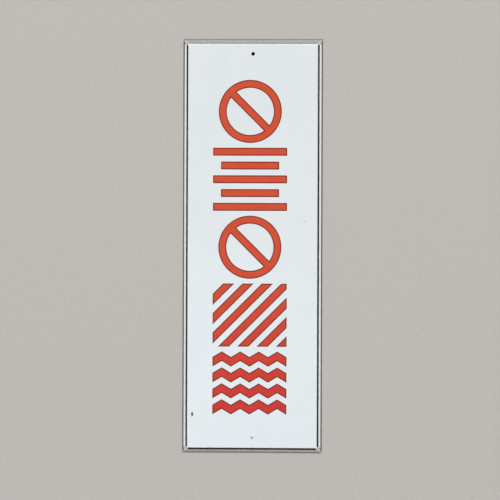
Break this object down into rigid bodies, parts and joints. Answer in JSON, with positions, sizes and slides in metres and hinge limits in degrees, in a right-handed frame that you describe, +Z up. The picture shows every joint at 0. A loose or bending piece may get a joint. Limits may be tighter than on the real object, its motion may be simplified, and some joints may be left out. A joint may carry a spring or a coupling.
{
  "type": "no smoking sign",
  "caption": "Tall narrow white plastic wall sign: raised printed face, shadow grooves and a sloping mitred rim round it, and a small fixing hole at each end.",
  "frame": {"origin": "on the flat back, midway between the two fixing holes", "axes": "+Z up the sign, +X to the right as it is read, +Y out of its back, so that the printed face looks towards -Y"},
  "size_m": [0.1, 0.002, 0.3],
  "materials": {
    "plate": "satin",
    "print": "satin"
  },
  "bodies": {
    "root": {"sign_plate": "plate"}
  },
  "joints": []
}
